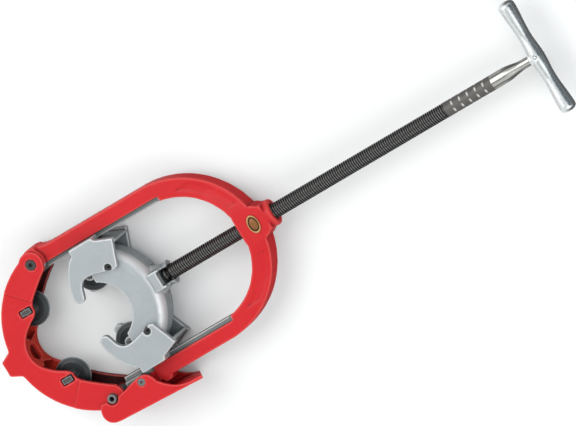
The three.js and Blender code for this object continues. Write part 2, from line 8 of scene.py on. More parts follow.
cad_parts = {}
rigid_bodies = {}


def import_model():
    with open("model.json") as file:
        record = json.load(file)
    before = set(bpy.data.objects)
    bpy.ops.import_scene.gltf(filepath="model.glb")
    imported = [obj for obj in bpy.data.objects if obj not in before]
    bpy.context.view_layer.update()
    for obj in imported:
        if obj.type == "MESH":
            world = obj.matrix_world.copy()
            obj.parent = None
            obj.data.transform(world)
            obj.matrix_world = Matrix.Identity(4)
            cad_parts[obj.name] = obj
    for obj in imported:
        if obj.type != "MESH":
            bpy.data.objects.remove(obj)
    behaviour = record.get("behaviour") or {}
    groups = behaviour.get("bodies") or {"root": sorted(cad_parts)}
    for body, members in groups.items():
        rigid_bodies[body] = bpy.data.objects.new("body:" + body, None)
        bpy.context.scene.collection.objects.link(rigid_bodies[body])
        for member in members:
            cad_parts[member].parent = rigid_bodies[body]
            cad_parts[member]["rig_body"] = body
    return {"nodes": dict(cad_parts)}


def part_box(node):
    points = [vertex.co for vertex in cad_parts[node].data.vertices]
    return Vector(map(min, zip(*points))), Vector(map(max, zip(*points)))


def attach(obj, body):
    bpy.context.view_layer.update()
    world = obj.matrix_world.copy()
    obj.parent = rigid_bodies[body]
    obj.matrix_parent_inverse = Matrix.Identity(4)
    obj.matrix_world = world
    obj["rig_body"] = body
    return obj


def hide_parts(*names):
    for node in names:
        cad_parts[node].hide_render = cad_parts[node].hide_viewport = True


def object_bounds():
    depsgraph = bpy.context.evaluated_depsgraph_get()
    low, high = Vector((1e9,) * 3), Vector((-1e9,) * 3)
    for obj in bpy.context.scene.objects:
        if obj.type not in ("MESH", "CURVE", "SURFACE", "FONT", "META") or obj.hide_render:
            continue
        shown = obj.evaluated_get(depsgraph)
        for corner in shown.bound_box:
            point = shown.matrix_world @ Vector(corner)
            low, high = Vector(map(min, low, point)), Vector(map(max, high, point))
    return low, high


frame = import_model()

cad_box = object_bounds()

# A hinged four-wheel pipe cutter lying flat. Lengths are written in millimetres and scaled by MM.
MM = 0.001
X, Y, Z = Vector((1, 0, 0)), Vector((0, 1, 0)), Vector((0, 0, 1))

screw_low, screw_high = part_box("feed_screw")

# Materials ---------------------------------------------------------------------------------------------


class Nodes:
    """Short ways to build a tree of shader nodes."""

    def __init__(self, tree):
        self.tree = tree
        self.texture = tree.nodes.new("ShaderNodeTexCoord").outputs
        self.place = self.texture["Object"]

    def feed(self, socket, value):
        if isinstance(value, bpy.types.NodeSocket):
            self.tree.links.new(value, socket)
        else:
            socket.default_value = value

    def noise(self, size, detail=2.0, stretch=(1, 1, 1)):
        """Cloudy noise from 0 to 1 whose features are about size millimetres across."""
        node = self.tree.nodes.new("ShaderNodeTexNoise")
        node.inputs["Scale"].default_value = 1 / (size * MM)
        node.inputs["Detail"].default_value = detail
        scaled = self.tree.nodes.new("ShaderNodeVectorMath")
        scaled.operation = "MULTIPLY"
        scaled.inputs[1].default_value = stretch
        self.feed(scaled.inputs[0], self.place)
        self.feed(node.inputs["Vector"], scaled.outputs[0])
        return node.outputs["Fac"]

    def math(self, operation, a, b=0.0):
        node = self.tree.nodes.new("ShaderNodeMath")
        node.operation = operation
        self.feed(node.inputs[0], a)
        self.feed(node.inputs[1], b)
        return node.outputs[0]

    def ramp(self, value, start, end, low=0.0, high=1.0):
        """low below start, high above end, and smooth between them."""
        node = self.tree.nodes.new("ShaderNodeMapRange")
        node.interpolation_type = "SMOOTHSTEP"
        sockets = ("Value", "From Min", "From Max", "To Min", "To Max")
        for socket, number in zip(sockets, (value, start, end, low, high)):
            self.feed(node.inputs[socket], number)
        return node.outputs[0]

    def mix(self, share, a, b):
        node = self.tree.nodes.new("ShaderNodeMix")
        node.data_type = "RGBA"
        self.feed(node.inputs[0], share)
        self.feed(node.inputs[6], a)
        self.feed(node.inputs[7], b)
        return node.outputs[2]

    def mark(self, name):
        """A number that the mesh holds on each of its points."""
        node = self.tree.nodes.new("ShaderNodeAttribute")
        node.attribute_name = name
        return node.outputs["Fac"]

    def axes(self, of="Object"):
        """Where the surface is, or which way it faces if of is Normal, in the object's own axes."""
        node = self.tree.nodes.new("ShaderNodeSeparateXYZ")
        self.feed(node.inputs[0], self.texture[of])
        return node.outputs

    def ray(self, kind):
        return self.tree.nodes.new("ShaderNodeLightPath").outputs[f"Is {kind} Ray"]

    def cosine(self, direction, other):
        """How nearly a direction points the same way as the other one."""
        node = self.tree.nodes.new("ShaderNodeVectorMath")
        node.operation = "DOT_PRODUCT"
        self.feed(node.inputs[0], direction)
        node.inputs[1].default_value = Vector(other).normalized()
        return node.outputs["Value"]


class Look(Nodes):
    """A material whose nodes end in its Principled surface."""

    def __init__(self, name, metallic, coat=0.0, shine=0.5):
        self.material = bpy.data.materials.new(name)
        self.material.use_nodes = True
        super().__init__(self.material.node_tree)
        self.surface = self.tree.nodes["Principled BSDF"]
        self.surface.inputs["Metallic"].default_value = metallic
        self.surface.inputs["Coat Weight"].default_value = coat
        self.surface.inputs["Coat Roughness"].default_value = 0.25
        self.surface.inputs["Specular IOR Level"].default_value = shine

    def finish(self, colour, roughness, height=None, depth=0.1, metallic=None):
        self.feed(self.surface.inputs["Base Color"], colour)
        self.feed(self.surface.inputs["Roughness"], roughness)
        if metallic is not None:
            self.feed(self.surface.inputs["Metallic"], metallic)
        if height is not None:
            bump = self.tree.nodes.new("ShaderNodeBump")
            bump.inputs["Distance"].default_value = depth * MM
            bump.inputs["Strength"].default_value = 1.0
            self.feed(bump.inputs["Height"], height)
            self.feed(self.surface.inputs["Normal"], bump.outputs[0])
        return self.material


def grey(v, tint=(1.0, 1.0, 1.0)):
    return (v * tint[0], v * tint[1], v * tint[2], 1.0)


def cast_skin(look):
    """The uneven skin of a sand casting: pebbles with finer grit over them."""
    pebbles = look.noise(2.4, 2.0)
    grit = look.noise(0.6, 3.0)
    return look.math("ADD", look.math("MULTIPLY", pebbles, 0.7), look.math("MULTIPLY", grit, 0.3))


def red_paint(name, tint_and_shade, rails):
    """Red enamel on cast iron, with a painted highlight along outer edges and painted shade in hollows. The
    function given second, called as (look, red), tints it in places and on the jaw paints shade into it,
    and rails(look) is where bare machined iron shows in its place."""
    look = Look(name, 0.0, coat=0.06, shine=0.28)
    edge = look.mark("edge")
    cloud = look.noise(38, 3.0)
    red = look.mix(cloud, (0.54, 0.006, 0.011, 1), (0.64, 0.011, 0.016, 1))
    red = tint_and_shade(look, red)
    # Painted highlight along outer edges, then painted shade in hollows
    red = look.mix(look.ramp(edge, 0.12, 0.6, 0, 0.45), red, (0.80, 0.10, 0.09, 1))
    red = look.mix(look.ramp(edge, -0.5, -0.05, 0.6, 0), red, (0.20, 0.004, 0.006, 1))
    chips = look.math("MULTIPLY", look.ramp(edge, 0.45, 0.8), look.ramp(look.noise(3.2, 4.0), 0.66, 0.70))
    red = look.mix(chips, red, (0.26, 0.20, 0.18, 1))
    roughness = look.ramp(look.noise(9, 3.0), 0.3, 0.7, 0.34, 0.47)
    bare = rails(look)
    lines = look.noise(1.6, 3.0, stretch=(0.06, 1, 1))
    iron = look.mix(lines, grey(0.13, (0.94, 1.02, 1.0)), grey(0.20, (0.94, 1.02, 1.0)))
    iron = look.mix(look.ramp(edge, 0.15, 0.6), iron, grey(0.45))
    colour = look.mix(bare, red, iron)
    # Paint throws less colour on the floor than it shows
    colour = look.mix(look.math("MULTIPLY", look.ray("Diffuse"), 0.8), colour, grey(0.5))
    height = look.math("MULTIPLY", cast_skin(look), look.math("SUBTRACT", 1.0, bare))
    return look.finish(
        colour,
        look.math("ADD", roughness, look.math("MULTIPLY", bare, 0.12)),
        height,
        0.16,
        metallic=look.math("MULTIPLY", bare, 0.45),
    )


def nowhere(look):
    return 0.0


def untinted(look, red):
    return red


ARM_INNER_Y = 92
RAIL_END_X = 293
LATCH_END_X = 167  # up to here the arm on the latch side is machined wider
LATCH_END_Y = 97
JAW_INSIDE_Z = 21.6
JAW_BACK_Z = 28.2
JAW_WEB_HALF_Y = 41


def below(look, value, limit, blur=0.1):
    """1 where a length is less than limit millimetres."""
    return look.ramp(value, (limit - blur) * MM, (limit + blur) * MM, 1, 0)


def frame_rails(look):
    """The two machined strips along the inside of the arms."""
    axes = look.axes()
    across = look.math("ABSOLUTE", axes["Y"])
    strip = look.math("MULTIPLY", below(look, across, ARM_INNER_Y), below(look, axes["X"], RAIL_END_X, 1.5))
    wide = look.math("MULTIPLY", below(look, across, LATCH_END_Y), below(look, axes["X"], LATCH_END_X, 1.0))
    wide = look.math("MULTIPLY", wide, below(look, axes["Y"], 0))
    return look.math("MAXIMUM", strip, wide)


def jaw_pocket_shade(look, red):
    """Behind the jaw's front cheek: painted shade darkens the pockets for the wheels either side of a lighter
    inner wall.
    """
    axes, facing = look.axes(), look.axes("Normal")
    front = below(look, axes["Z"], JAW_INSIDE_Z + 0.8, 0.8)
    back = below(look, axes["Z"], -JAW_BACK_Z)
    outward = look.math(
        "MAXIMUM",
        look.ramp(facing["X"], -0.45, -0.2, 1, 0),
        look.ramp(look.math("ABSOLUTE", facing["Y"]), 0.8, 0.95),
    )
    inside = look.math("SUBTRACT", front, look.math("MAXIMUM", back, outward))
    middle = below(look, look.math("ABSOLUTE", axes["Y"]), JAW_WEB_HALF_Y, 3.0)
    # Painted shade: near black in the wheel pockets, with a lighter orange-red inner wall between them
    wall = look.mix(middle, (0.030, 0.003, 0.003, 1), (0.62, 0.030, 0.012, 1))
    return look.mix(look.math("MAXIMUM", inside, 0.0), red, wall)


def grey_casting():
    """Plated grey castings, a little blue, with a painted highlight along their outer edges and painted shade
    in their hollows.
    """
    look = Look("grey_casting", 0.45)
    edge = look.mark("edge")
    tone = look.mix(look.noise(24, 4.0), grey(0.36, (0.92, 1.02, 1.06)), grey(0.44, (0.92, 1.01, 1.05)))
    tone = look.mix(look.ramp(look.noise(2.2, 4.0), 0.56, 0.7, 0, 0.25), tone, grey(0.25, (0.95, 1.0, 1.02)))
    # Painted highlight along outer edges, then painted shade in hollows
    tone = look.mix(look.ramp(edge, 0.12, 0.6, 0, 0.62), tone, grey(0.66, (0.97, 1.0, 1.0)))
    tone = look.mix(look.ramp(edge, -0.5, -0.06, 0.75, 0), tone, grey(0.10))
    # Painted highlight: surfaces facing +X and upward, on the rounded side towards the screw, are lightened
    facing = look.axes("Normal")
    shoulder_highlight = look.math("MULTIPLY", look.ramp(facing["X"], 0.25, 0.6), look.ramp(facing["Z"], -0.1, 0.2))
    tone = look.mix(look.math("MULTIPLY", shoulder_highlight, 0.7), tone, grey(0.95, (0.98, 1.0, 1.0)))
    roughness = look.ramp(look.noise(6, 3.0), 0.3, 0.7, 0.36, 0.52)
    return look.finish(tone, roughness, cast_skin(look), 0.13)


def turned_steel(name, dark, light, roughness, metallic=0.85, size=0.7, stretch=(1, 1, 1), shine=0.5):
    """Plain or blackened steel with fine tool marks and brighter edges."""
    look = Look(name, metallic, shine=shine)
    edge = look.mark("edge")
    marks = look.noise(size, 3.0, stretch)
    tone = look.mix(marks, dark, light)
    # Lighter colour along sharp outer edges
    worn = tuple(min(1, 2.4 * c + 0.08) for c in light[:3]) + (1,)
    tone = look.mix(look.ramp(edge, 0.08, 0.5, 0, 0.7), tone, worn)
    # Light grey where the mesh marks bare metal in the grip's slits and a faint painted glint on the thread's
    # crests
    tone = look.mix(look.mark("bare"), tone, grey(0.80))
    rough = look.ramp(look.noise(5, 3.0), 0.3, 0.7, roughness - 0.05, roughness + 0.07)
    return look.finish(tone, rough, marks, 0.03)


def zinc_handle():
    """A bright plated bar, faintly mottled, with a painted dark reflection on the side that faces +X."""
    look = Look("zinc_handle", 0.95)
    spangle = look.noise(5, 3.0)
    tone = look.mix(spangle, grey(0.72, (0.95, 1.0, 1.01)), grey(0.82, (0.95, 1.0, 1.01)))
    # Painted reflection: the side facing +X is darkened to blue-grey as if it mirrored a dark card
    painted_reflection = look.ramp(look.axes("Normal")["X"], 0.10, 0.42, 0, 0.35)
    tone = look.mix(painted_reflection, tone, grey(0.34, (0.88, 1.0, 1.05)))
    roughness = look.ramp(look.noise(3, 3.0), 0.3, 0.7, 0.20, 0.30)
    return look.finish(tone, roughness, look.noise(4, 2.0), 0.03)


def badge_metal():
    """A plain oval plate: bright gold rim, dark groove and a brushed brown-gold field."""
    look = Look("gold_badge", 0.75)
    brushed = look.noise(0.6, 3.0, stretch=(1, 0.15, 1))
    gold = look.mix(brushed, (0.18, 0.06, 0.02, 1), (0.34, 0.16, 0.06, 1))
    gold = look.mix(look.mark("rim"), gold, (0.50, 0.30, 0.12, 1))
    gold = look.mix(look.mark("groove"), gold, (0.05, 0.02, 0.012, 1))
    return look.finish(gold, look.ramp(brushed, 0.3, 0.7, 0.3, 0.45), brushed, 0.05)


BLACK, BLACK_LIGHT = grey(0.016, (1.0, 0.98, 0.95)), grey(0.045, (1.0, 0.98, 0.95))
GRIP, GRIP_LIGHT = grey(0.085, (1.05, 1, 0.94)), grey(0.15, (1.05, 1, 0.94))
SHANK, SHANK_LIGHT = grey(0.42, (1.0, 1, 0.95)), grey(0.54, (1.0, 1, 0.95))
WHEEL, WHEEL_LIGHT = grey(0.035, (0.9, 1, 1.05)), grey(0.065, (0.9, 1, 1.05))
BRONZE, BRONZE_LIGHT = (0.30, 0.17, 0.07, 1), (0.42, 0.26, 0.11, 1)
looks = {
    "frame_paint": red_paint("red_paint_frame", untinted, frame_rails),
    "jaw_paint": red_paint("red_paint_jaw", jaw_pocket_shade, nowhere),
    "latch_paint": red_paint("red_paint_latch", untinted, nowhere),
    "grey_casting": grey_casting(),
    "zinc_handle": zinc_handle(),
    "black_oxide": turned_steel("black_oxide", grey(0.004), grey(0.010), 0.6, 0.0, shine=0.08),
    "thread": turned_steel("black_thread", BLACK, BLACK_LIGHT, 0.30, size=0.9, stretch=(3, 1, 1)),
    "grip": turned_steel("rolled_grip", GRIP, GRIP_LIGHT, 0.5, 0.5),
    "shank": turned_steel("bright_shank", SHANK, SHANK_LIGHT, 0.16, 1.0),
    "wheel_steel": turned_steel("wheel_steel", WHEEL, WHEEL_LIGHT, 0.42, size=1.2),
    "pin_steel": turned_steel("pin_steel", grey(0.035), grey(0.07), 0.42, 0.4, shine=0.3),
    "tang_steel": turned_steel("tang_steel", grey(0.05), grey(0.11), 0.45, 0.4, shine=0.3),
    "bronze": turned_steel("bronze", BRONZE, BRONZE_LIGHT, 0.38),
    "gold_badge": badge_metal(),
}

# Meshes ------------------------------------------------------------------------------------------------


def mesh_of(name, points, faces):
    mesh = bpy.data.meshes.new(name)
    mesh.from_pydata([tuple(p) for p in points], [], faces)
    mesh.update()
    return mesh


def read(collection, key):
    """One vector for each item, as an array with three columns."""
    values = np.empty(len(collection) * 3, np.float32)
    collection.foreach_get(key, values)
    return values.reshape(-1, 3).astype(float)


def store(mesh, name, values):
    attribute = mesh.attributes.get(name) or mesh.attributes.new(name, "FLOAT", "POINT")
    attribute.data.foreach_set("value", np.asarray(values, np.float32))


def mark_edges(mesh, reach, rounds=2):
    """Stores how sharply the surface bends at each point: above 0 on an outer edge, below 0 in a hollow.
    reach, in metres, is the radius of bend that counts as 1."""
    points, normals = read(mesh.vertices, "co"), read(mesh.vertex_normals, "vector")
    ends = np.empty(len(mesh.edges) * 2, np.int32)
    mesh.edges.foreach_get("vertices", ends)
    a, b = ends.reshape(-1, 2).T
    step = points[b] - points[a]
    bend = ((normals[b] - normals[a]) * step).sum(1) / np.maximum((step**2).sum(1), 1e-12)
    total = len(points)
    count = np.maximum(np.bincount(a, minlength=total) + np.bincount(b, minlength=total), 1)
    value = (np.bincount(a, bend, total) + np.bincount(b, bend, total)) / count
    for _ in range(rounds):
        value = (np.bincount(a, value[b], total) + np.bincount(b, value[a], total) + value) / (count + 1)
    store(mesh, "edge", np.clip(value * reach, -1, 1))


def place(name, mesh, node, looks_used):
    """Shows a mesh in place of a CAD node, on that node's body."""
    piece = bpy.data.objects.new(name, mesh)
    bpy.context.scene.collection.objects.link(piece)
    mesh.materials.clear()
    for look in looks_used:
        mesh.materials.append(looks[look])
    mesh.shade_smooth()
    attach(piece, frame["nodes"][node]["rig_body"])
    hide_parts(node)
    return piece


def modified(mesh, *settings):
    """The mesh after modifiers, each given as (type, {setting: value})."""
    holder = bpy.data.objects.new("holder", mesh)
    bpy.context.scene.collection.objects.link(holder)
    for kind, values in settings:
        modifier = holder.modifiers.new(kind.lower(), kind)
        for key, value in values.items():
            setattr(modifier, key, value)
    graph = bpy.context.evaluated_depsgraph_get()
    result = bpy.data.meshes.new_from_object(holder.evaluated_get(graph))
    bpy.data.objects.remove(holder)
    return result


def rounded(mesh, voxel, passes):
    """The same solid with its edges worn round: voxel is in millimetres, and more passes round more."""
    return modified(
        mesh,
        ("REMESH", {"mode": "VOXEL", "voxel_size": voxel * MM, "adaptivity": 0.0}),
        ("SMOOTH", {"factor": 0.5, "iterations": passes}),
    )


def roughen(mesh, depth, size, keep=None):
    """Pushes points in and out along their normals, as a sand mould leaves them."""
    points, normals = read(mesh.vertices, "co"), read(mesh.vertex_normals, "vector")
    wave = np.array([noise.noise(Vector(p) / (size * MM)) for p in points])
    if keep is not None:
        wave = np.where(keep(points), 0, wave)
    points += normals * (wave * depth * MM)[:, None]
    mesh.vertices.foreach_set("co", points.astype(np.float32).ravel())
    mesh.update()


def on_rails(points):
    """Where the frame is machined, between its arms."""
    return (np.abs(points[:, 1]) < ARM_INNER_Y * MM) & (points[:, 0] < RAIL_END_X * MM)


def casting(node, look, voxel=1.0, passes=5, ripple=0.12, keep=None):
    """Shows a CAD node as a rough casting with worn edges, left smooth where keep says."""
    mesh = rounded(frame["nodes"][node].data.copy(), voxel, passes)
    roughen(mesh, ripple, 7.0, keep)
    mark_edges(mesh, 3.2 * MM)
    return place(node + "_casting", mesh, node, [look])


def lathe(profile, centre, axis, segments=64):
    """A solid of revolution about axis through centre. profile holds (along, radius) in millimetres, from
    the axis round to the axis, or closed on itself when it never meets the axis."""
    side = (Y if abs(axis.y) < 0.5 else X).cross(axis).normalized()
    other = axis.cross(side)
    closed = profile[0] == profile[-1]
    rows = profile[:-1] if closed else profile
    points, starts = [], []
    for along, radius in rows:
        starts.append(len(points))
        base = centre + axis * (along * MM)
        if radius == 0:
            points.append(base)
            continue
        for k in range(segments):
            turn = 2 * math.pi * k / segments
            points.append(base + (side * math.cos(turn) + other * math.sin(turn)) * (radius * MM))
    faces = []
    count = len(rows)
    for i in range(count if closed else count - 1):
        j = (i + 1) % count
        flat_i, flat_j = rows[i][1] == 0, rows[j][1] == 0
        for k in range(segments):
            m = (k + 1) % segments
            ring = []
            ring += [starts[i]] if flat_i else [starts[i] + k, starts[i] + m]
            ring += [starts[j]] if flat_j else [starts[j] + m, starts[j] + k]
            if len(ring) > 2:
                faces.append(ring)
    mesh = mesh_of("lathe", points, faces)
    outward(mesh)
    return mesh


def outward(mesh):
    """Turns the faces of a closed mesh so that they look outwards."""
    mesh.calc_loop_triangles()
    points = read(mesh.vertices, "co")
    corners = np.array([t.vertices[:] for t in mesh.loop_triangles])
    a, b, c = (points[corners[:, k]] for k in range(3))
    if (np.cross(a, b) * c).sum() < 0:
        mesh.flip_normals()
    mesh.update()


def crisp(mesh, width, segments=2):
    """The same solid with a small round on every sharp edge."""
    return modified(
        mesh,
        (
            "BEVEL",
            {
                "width": width * MM,
                "segments": segments,
                "limit_method": "ANGLE",
                "angle_limit": math.radians(30),
            },
        ),
    )


def turned_piece(name, node, look, profile, axis, segments=64, edge_width=0.35):
    """Shows a CAD node as a solid of revolution with its corners broken."""
    low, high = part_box(node)
    mesh = crisp(lathe(profile, (low + high) / 2, axis, segments), edge_width)
    mark_edges(mesh, 1.5 * MM, 0)
    piece = place(name, mesh, node, [look])
    piece.modifiers.new("weighted", "WEIGHTED_NORMAL").keep_sharp = False
    return piece


# Castings ----------------------------------------------------------------------------------------------


def build_castings():
    casting("yoke_frame", "frame_paint", 1.1, 6, keep=on_rails)
    casting("lower_jaw", "jaw_paint", 1.0, 4)
    casting("latch_lever", "latch_paint", 0.8, 4, ripple=0.08)
    casting("slide", "grey_casting", 0.9, 7)
    for side in ("upper", "lower"):
        casting("rail_guide_" + side, "grey_casting", 0.8, 4, ripple=0.08)


# Screw and handle --------------------------------------------------------------------------------------

PITCH = 3.175
THREAD_DEPTH = 1.1
SCREW_R = 10.0
NECK_R = 7.0
SHANK_R = 6.5
SCREW_SEGMENTS = 48
# Distances from the screw's inner end
HEAD_END = 5.6
THREAD = (11.2, 441.2)
GRIP_END = 512.2
TAPER = (529.2, 559.2)
# Slits in the grip: distance of the first from the thread, spacing, number along and number round
SLIT_FIRST = 11.4
SLIT_SPACING = 12.05
SLIT_COUNT = 5
SLITS_ROUND = 6
SLIT_DEPTH = 0.9
GRIP_DEPTH = 0.06


def step_up(value, start, end):
    """0 up to start, 1 from end on, and smooth between them."""
    t = np.clip((value - start) / (end - start), 0, 1)
    return t * t * (3 - 2 * t)


# (distance from the inner end, radius) round the head, along the neck and up to the thread
HEAD = (
    (0, 8.2), (0.4, 8.8), (0.8, 9.2), (HEAD_END - 0.5, 9.2), (HEAD_END, 8.8),
    (HEAD_END + 0.01, NECK_R), (8, NECK_R), (THREAD[0] - 1.2, NECK_R), (THREAD[0], SCREW_R),
)


def screw_core(x):
    """Radius of the screw without its thread, x millimetres from its inner end."""
    stations, radii = zip(*HEAD)
    return np.interp(x, stations, radii) - (SCREW_R - SHANK_R) * step_up(x, *TAPER)


def screw_rows():
    """Stations along the screw: close together where the thread and the slits need it."""
    length = (screw_high.x - screw_low.x) / MM
    head = [station for station, _ in HEAD[:-1]]
    thread = np.arange(THREAD[0], THREAD[1], PITCH / 8)
    grip = np.arange(THREAD[1], GRIP_END, 0.35)
    shank_end = TAPER[1] + 6
    shank = np.arange(GRIP_END, shank_end, 1.0)
    rest = np.linspace(shank_end, length, 8)
    return np.concatenate([head, thread, grip, shank, rest])


def build_screw():
    """The screw as rings of points whose radius carries its thread and its slits."""
    rows = screw_rows()
    turn = np.linspace(0, 2 * math.pi, SCREW_SEGMENTS, endpoint=False)
    x, angle = np.meshgrid(rows, turn, indexing="ij")
    r = screw_core(x)
    # Thread: flat-bottomed grooves with narrow crests, running out at both ends
    phase = ((x - PITCH * angle / (2 * math.pi)) / PITCH) % 1
    groove = step_up(1 - np.abs(2 * phase - 1), 0.22, 0.62)
    threaded = step_up(x, THREAD[0], THREAD[0] + 4) * (1 - step_up(x, THREAD[1] - 5, THREAD[1] - 1))
    r -= THREAD_DEPTH * groove * threaded
    crest = (1 - step_up(groove, 0.0, 0.35)) * threaded
    # Slits pressed into the plain stretch
    slit = np.zeros_like(r)
    for k in range(SLIT_COUNT):
        along = 1 - step_up(np.abs(x - THREAD[1] - SLIT_FIRST - k * SLIT_SPACING), 0.55, 1.25)
        for m in range(SLITS_ROUND):
            off = (angle - 2 * math.pi * m / SLITS_ROUND + math.pi) % (2 * math.pi) - math.pi
            slit = np.maximum(slit, along * (1 - step_up(np.abs(off), 0.20, 0.32)))
    r -= SLIT_DEPTH * slit
    grip = step_up(x, THREAD[1] - 2, THREAD[1]) * (1 - step_up(x, GRIP_END - 0.4, GRIP_END))
    r -= GRIP_DEPTH * grip
    points = np.stack([screw_low.x / MM + x, r * np.cos(angle), r * np.sin(angle)], -1).reshape(-1, 3) * MM
    n, s = len(rows), SCREW_SEGMENTS
    faces = [
        (i * s + k, i * s + (k + 1) % s, (i + 1) * s + (k + 1) % s, (i + 1) * s + k)
        for i in range(n - 1)
        for k in range(s)
    ]
    faces += [list(range(s)), list(range((n - 1) * s, n * s))[::-1]]
    mesh = mesh_of("feed_screw", points, faces)
    outward(mesh)
    # Marks bare metal in the grip's slits, and a faint painted glint along the thread's crests
    store(mesh, "bare", np.maximum(slit * grip, 0.10 * crest).ravel())
    mark_edges(mesh, 0.8 * MM, 0)
    place("feed_screw_threaded", mesh, "feed_screw", ["thread", "grip", "shank"])
    middles = (rows[:-1] + rows[1:]) / 2
    kinds = np.where(middles < THREAD[1] - 1, 0, np.where(middles < GRIP_END, 1, 2)).repeat(s)
    mesh.polygons.foreach_set("material_index", np.append(kinds, [0, 2]).astype(np.int32))


def build_handle():
    """A bar that swells to rounded ends and to a hub about the screw's shank."""
    mesh = rounded(frame["nodes"]["t_handle"].data.copy(), 0.7, 14)
    mark_edges(mesh, 3.2 * MM)
    place("t_handle_bar", mesh, "t_handle", ["zinc_handle"])


# Wheels and pins ---------------------------------------------------------------------------------------

WHEEL_FACE_HALF = 3.2
WHEEL_BEVEL = 7.0
WHEEL_HUB_R = 8.5
WHEEL_BORE_R = 5.0


def build_wheels():
    """Cutter wheels: a hub, a thin disc with a turned ring and a keen edge."""
    for station in ("jaw", "slide"):
        for side in ("upper", "lower"):
            node = f"{station}_cutter_wheel_{side}"
            low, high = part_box(node)
            rim = (high.x - low.x) / 2 / MM
            hub = (high.z - low.z) / 2 / MM
            half = [
                (hub, WHEEL_BORE_R + 0.5),
                (hub, WHEEL_HUB_R - 0.7),
                (hub - 0.7, WHEEL_HUB_R),
                (WHEEL_FACE_HALF + 1.2, WHEEL_HUB_R + 0.2),
                (WHEEL_FACE_HALF, WHEEL_HUB_R + 1.6),
                (WHEEL_FACE_HALF, rim - WHEEL_BEVEL - 1.4),
                (WHEEL_FACE_HALF - 0.35, rim - WHEEL_BEVEL - 1.0),
                (WHEEL_FACE_HALF - 0.35, rim - WHEEL_BEVEL - 0.4),
                (WHEEL_FACE_HALF - 0.1, rim - WHEEL_BEVEL),
                (0.9, rim - 1.6),
                (0.12, rim),
            ]
            half.insert(0, (hub - 0.5, WHEEL_BORE_R))
            profile = half + [(-z, r) for z, r in reversed(half)] + half[:1]
            mesh = lathe(profile, (low + high) / 2, Z, 96)
            mark_edges(mesh, 1.0 * MM, 0)
            piece = place(f"{station}_wheel_{side}_turned", mesh, node, ["wheel_steel"])
            piece.modifiers.new("split", "EDGE_SPLIT").split_angle = math.radians(24)


PIN_SEGMENTS = 40
PIN_CORNER = 0.5


def plain_pin(node, look, bore=0.0, dimple=0.0):
    """A round pin along Z with broken corners, solid, bored or with a shallow centre."""
    low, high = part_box(node)
    r = (high.x - low.x) / 2 / MM
    half = (high.z - low.z) / 2 / MM
    profile = [(-half, bore), (-half, r), (half, r), (half, max(bore, dimple))]
    if bore:
        profile.append(profile[0])
    elif dimple:
        profile.append((half - dimple, 0))
    turned_piece(node + "_turned", node, look, profile, Z, PIN_SEGMENTS, PIN_CORNER)


def build_pins():
    plain_pin("hinge_pin", "black_oxide", dimple=1.6)
    plain_pin("catch_pin", "pin_steel", bore=3.2)
    plain_pin("latch_pivot_pin", "pin_steel", dimple=1.2)
    plain_pin("handle_pin", "zinc_handle")
    for side in ("upper", "lower"):
        plain_pin("guide_pin_" + side, "black_oxide", dimple=1.2)
        plain_pin("slide_wheel_pin_" + side, "pin_steel", dimple=1.0)
        node = "jaw_wheel_pin_" + side
        mesh = rounded(frame["nodes"][node].data.copy(), 0.4, 3)
        mark_edges(mesh, 1.2 * MM)
        place(node + "_tanged", mesh, node, ["tang_steel"])


def build_small_parts():
    """The fork that keeps the screw's head in the slide, and the bush that the screw runs in."""
    mesh = rounded(frame["nodes"]["screw_retainer"].data.copy(), 0.4, 2)
    mark_edges(mesh, 1.2 * MM)
    place("screw_retainer_fork", mesh, "screw_retainer", ["pin_steel"])
    low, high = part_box("feed_nut")
    half = (high.x - low.x) / 2 / MM
    outer = (high.y - low.y) / 2 / MM
    inner = SCREW_R + 0.3
    profile = [(-half, inner), (-half, outer), (half, outer), (half, inner), (-half, inner)]
    turned_piece("feed_nut_bush", "feed_nut", "bronze", profile, X)


def build_spring():
    """The latch's torsion spring: close coils on the pivot."""
    low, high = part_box("latch_spring")
    wire = 0.9
    centre = (low + high) / 2
    coil_r = (high.x - low.x) / 2 / MM - wire
    turns, steps, ring = 5, 160, 10
    rise = (high.z - low.z) / MM - 2 * wire
    path = []
    for i in range(steps + 1):
        t = i / steps
        a = 2 * math.pi * turns * t
        path.append(centre + Vector((coil_r * math.cos(a), coil_r * math.sin(a), (t - 0.5) * rise)) * MM)
    points, faces = [], []
    for i, p in enumerate(path):
        ahead = (path[min(i + 1, steps)] - path[max(i - 1, 0)]).normalized()
        out = Vector((p.x - centre.x, p.y - centre.y, 0)).normalized()
        up = ahead.cross(out)
        shrink = 0.55 if i in (0, steps) else 1.0
        for k in range(ring):
            a = 2 * math.pi * k / ring
            points.append(p + (out * math.cos(a) + up * math.sin(a)) * wire * shrink * MM)
    for i in range(steps):
        for k in range(ring):
            m = (k + 1) % ring
            faces.append((i * ring + k, i * ring + m, (i + 1) * ring + m, (i + 1) * ring + k))
    faces += [list(range(ring)), list(range(steps * ring, (steps + 1) * ring))[::-1]]
    mesh = mesh_of("latch_spring", points, faces)
    outward(mesh)
    mark_edges(mesh, 0.4 * MM, 0)
    place("latch_spring_coil", mesh, "latch_spring", ["pin_steel"])


